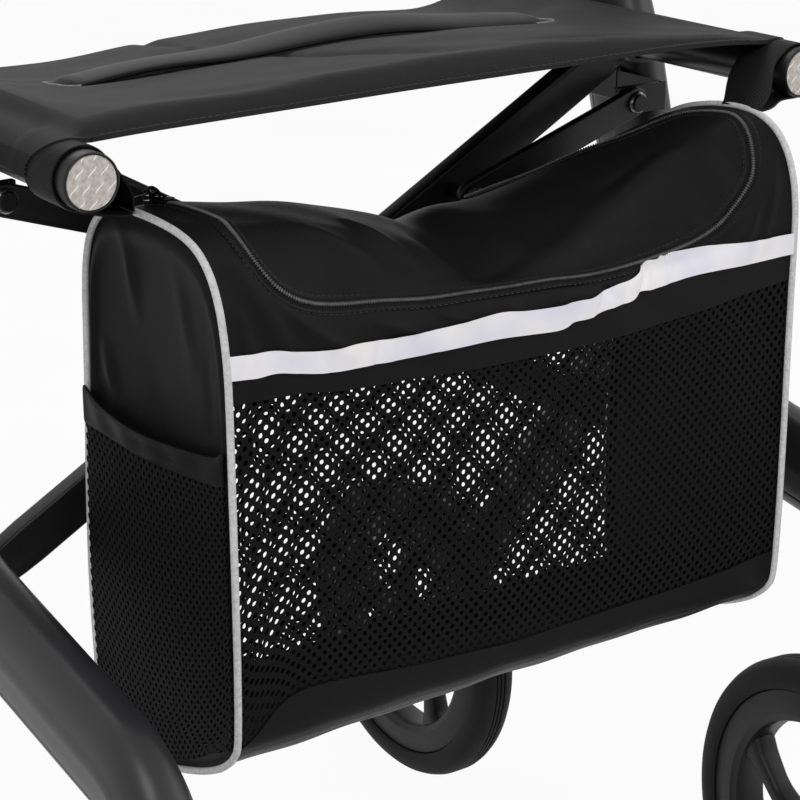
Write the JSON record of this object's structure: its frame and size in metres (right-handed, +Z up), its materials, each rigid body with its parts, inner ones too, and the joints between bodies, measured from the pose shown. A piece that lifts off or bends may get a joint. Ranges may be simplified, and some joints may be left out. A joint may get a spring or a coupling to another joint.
{
  "type": "carbon rollator",
  "caption": "Folding four-wheel rollator with moulded carbon side frames, crossed brace, padded sling seat, hanging zip bag, swivel casters and lever hand brakes.",
  "frame": {"origin": "on the floor, in the middle of the rollator's box seen from above", "axes": "+Z up, -Y is the front with the casters, +Y is the user's side, +X is the right side as seen from the front"},
  "size_m": [0.591, 0.6458, 0.9272],
  "materials": {
    "carbon": "satin clear-coated carbon fibre",
    "black_metal": "satin black coating",
    "black_plastic": "matt moulded",
    "rubber": "matt",
    "steel": "zinc plated",
    "seat_cloth": "matt knitted cover",
    "bag_cloth": "plain woven nylon and mesh",
    "webbing": "woven webbing",
    "reflector": "prismatic foil"
  },
  "bodies": {
    "left_frame": {"side_frame_left": "carbon", "height_clamp_left": "black_plastic", "head_bearing_left": "steel", "lower_bracket_left": "black_metal", "link_bracket_left": "black_metal", "rail_cradle_left": "black_plastic", "rear_axle_left": "steel"},
    "brace_front": {"brace_bar_front": "black_metal", "brace_bolt": "black_metal", "brace_nut": "black_metal", "seat_rail_right": "black_metal", "rail_cap_right": "black_plastic", "reflector_right": "reflector"},
    "brace_rear": {"brace_bar_rear": "black_metal", "seat_rail_left": "black_metal", "rail_cap_left": "black_plastic", "reflector_left": "reflector"},
    "right_frame": {"side_frame_right": "carbon", "height_clamp_right": "black_plastic", "head_bearing_right": "steel", "lower_bracket_right": "black_metal", "link_bracket_right": "black_metal", "rail_cradle_right": "black_plastic", "rear_axle_right": "steel"},
    "seat": {"seat_sling": "seat_cloth", "seat_pull_strap": "webbing"},
    "bag": {"bag_body": "bag_cloth", "bag_lid": "bag_cloth", "zip_slider": "black_metal", "front_webbing_right": "webbing"},
    "left_webbing": {"front_webbing_left": "webbing"},
    "link_left": {"link_left": "black_metal"},
    "handle_left": {"handle_tube_left": "black_metal", "grip_left": "rubber", "brake_housing_left": "black_plastic"},
    "lever_left": {"brake_lever_left": "black_plastic"},
    "shoe_left": {"brake_shoe_left": "black_plastic"},
    "knob_left": {"height_knob_left": "black_plastic"},
    "caster_left": {"caster_fork_left": "black_metal", "front_axle_left": "steel"},
    "caster_wheel_left": {"front_wheel_left": "black_plastic", "front_tyre_left": "rubber"},
    "rear_wheel_left": {"rear_wheel_left": "black_plastic", "rear_tyre_left": "rubber"},
    "link_right": {"link_right": "black_metal"},
    "handle_right": {"handle_tube_right": "black_metal", "grip_right": "rubber", "brake_housing_right": "black_plastic"},
    "lever_right": {"brake_lever_right": "black_plastic"},
    "shoe_right": {"brake_shoe_right": "black_plastic"},
    "knob_right": {"height_knob_right": "black_plastic"},
    "caster_right": {"caster_fork_right": "black_metal", "front_axle_right": "steel"},
    "caster_wheel_right": {"front_wheel_right": "black_plastic", "front_tyre_right": "rubber"},
    "rear_wheel_right": {"rear_wheel_right": "black_plastic", "rear_tyre_right": "rubber"}
  },
  "joints": [
    {"name": "fold", "type": "hinge", "parent": "left_frame", "child": "brace_front", "pos_m": [-0.2264, -0.03069, 0.3605], "axis": [0, -1, 0], "range_deg": [0, 44.7], "deforming": ["seat_sling", "seat_pull_strap", "bag_body", "bag_lid", "zip_slider"]},
    {"name": "brace_cross", "type": "hinge", "parent": "brace_front", "child": "brace_rear", "pos_m": [0, -0.02429, 0.48775], "axis": [0, 1, 0], "range_deg": [0, 89.6]},
    {"name": "right_foot", "type": "hinge", "parent": "brace_rear", "child": "right_frame", "pos_m": [0.2264, -0.01789, 0.3605], "axis": [0, -1, 0], "range_deg": [0, 44.8]},
    {"name": "seat_on_rail", "type": "hinge", "parent": "brace_front", "child": "seat", "pos_m": [0.2264, -0.01179, 0.615], "axis": [0, 1, 0], "range_deg": [0, 44.8]},
    {"name": "bag_on_rail", "type": "hinge", "parent": "brace_front", "child": "bag", "pos_m": [0.2264, -0.01179, 0.615], "axis": [0, 1, 0], "range_deg": [0, 44.8]},
    {"name": "webbing_on_rail", "type": "hinge", "parent": "brace_rear", "child": "left_webbing", "pos_m": [-0.2264, -0.01179, 0.615], "axis": [0, -1, 0], "range_deg": [0, 44.8]},
    {"name": "link_turn_left", "type": "hinge", "parent": "left_frame", "child": "link_left", "pos_m": [-0.212, -0.05529, 0.578], "axis": [0, -1, 0], "range_deg": [0, 95.6]},
    {"name": "link_turn_right", "type": "hinge", "parent": "right_frame", "child": "link_right", "pos_m": [0.212, -0.05529, 0.578], "axis": [0, 1, 0], "range_deg": [0, 95.6]},
    {"name": "height_left", "type": "slide", "parent": "left_frame", "child": "handle_left", "axis": [0, 0.2756, 0.9613], "range_m": [-0.07, 0.07]},
    {"name": "lever_left", "type": "hinge", "parent": "handle_left", "child": "lever_left", "pos_m": [-0.2585, 0.14581, 0.87215], "axis": [1, 0, 0], "range_deg": [0, 14], "stiffness_Nm_per_rad": 0.4, "springref_deg": -11.46},
    {"name": "shoe_left", "type": "hinge", "parent": "left_frame", "child": "shoe_left", "pos_m": [-0.228, 0.12881, 0.23182], "axis": [1, 0, 0], "range_deg": [-3, 0]},
    {"name": "knob_left", "type": "hinge", "parent": "left_frame", "child": "knob_left", "pos_m": [-0.2758, 0.03878, 0.69116], "axis": [-1, 0, 0], "range_deg": [0, 270]},
    {"name": "swivel_left", "type": "hinge", "parent": "left_frame", "child": "caster_left", "pos_m": [-0.2585, -0.28679, 0.2744], "axis": [0, 0, 1], "continuous": true},
    {"name": "caster_roll_left", "type": "hinge", "parent": "caster_left", "child": "caster_wheel_left", "pos_m": [-0.26674, -0.2042, 0.1175], "axis": [0.9951, 0.0993, 0], "continuous": true},
    {"name": "rear_roll_left", "type": "hinge", "parent": "left_frame", "child": "rear_wheel_left", "pos_m": [-0.228, 0.20521, 0.1175], "axis": [1, 0, 0], "continuous": true},
    {"name": "height_right", "type": "slide", "parent": "right_frame", "child": "handle_right", "axis": [0, 0.2756, 0.9613], "range_m": [-0.07, 0.07]},
    {"name": "lever_right", "type": "hinge", "parent": "handle_right", "child": "lever_right", "pos_m": [0.2585, 0.14581, 0.87215], "axis": [1, 0, 0], "range_deg": [0, 14], "stiffness_Nm_per_rad": 0.4, "springref_deg": -11.46},
    {"name": "shoe_right", "type": "hinge", "parent": "right_frame", "child": "shoe_right", "pos_m": [0.228, 0.12881, 0.23182], "axis": [1, 0, 0], "range_deg": [-3, 0]},
    {"name": "knob_right", "type": "hinge", "parent": "right_frame", "child": "knob_right", "pos_m": [0.2758, 0.03878, 0.69116], "axis": [1, 0, 0], "range_deg": [0, 270]},
    {"name": "swivel_right", "type": "hinge", "parent": "right_frame", "child": "caster_right", "pos_m": [0.2585, -0.28679, 0.2744], "axis": [0, 0, 1], "continuous": true},
    {"name": "caster_roll_right", "type": "hinge", "parent": "caster_right", "child": "caster_wheel_right", "pos_m": [0.26674, -0.2042, 0.1175], "axis": [0.9951, -0.0993, 0], "continuous": true},
    {"name": "rear_roll_right", "type": "hinge", "parent": "right_frame", "child": "rear_wheel_right", "pos_m": [0.228, 0.20521, 0.1175], "axis": [1, 0, 0], "continuous": true}
  ],
  "couplings": [
    {"joint": "brace_cross", "follows": "fold", "ratio": 2},
    {"joint": "right_foot", "follows": "fold", "ratio": 1},
    {"joint": "seat_on_rail", "follows": "fold", "ratio": 1},
    {"joint": "bag_on_rail", "follows": "fold", "ratio": 1},
    {"joint": "webbing_on_rail", "follows": "fold", "ratio": 1},
    {"joint": "link_turn_left", "follows": "fold", "ratio": 2.134},
    {"joint": "link_turn_right", "follows": "fold", "ratio": 2.134},
    {"joint": "shoe_left", "follows": "lever_left", "ratio": -0.2},
    {"joint": "shoe_right", "follows": "lever_right", "ratio": -0.2}
  ]
}
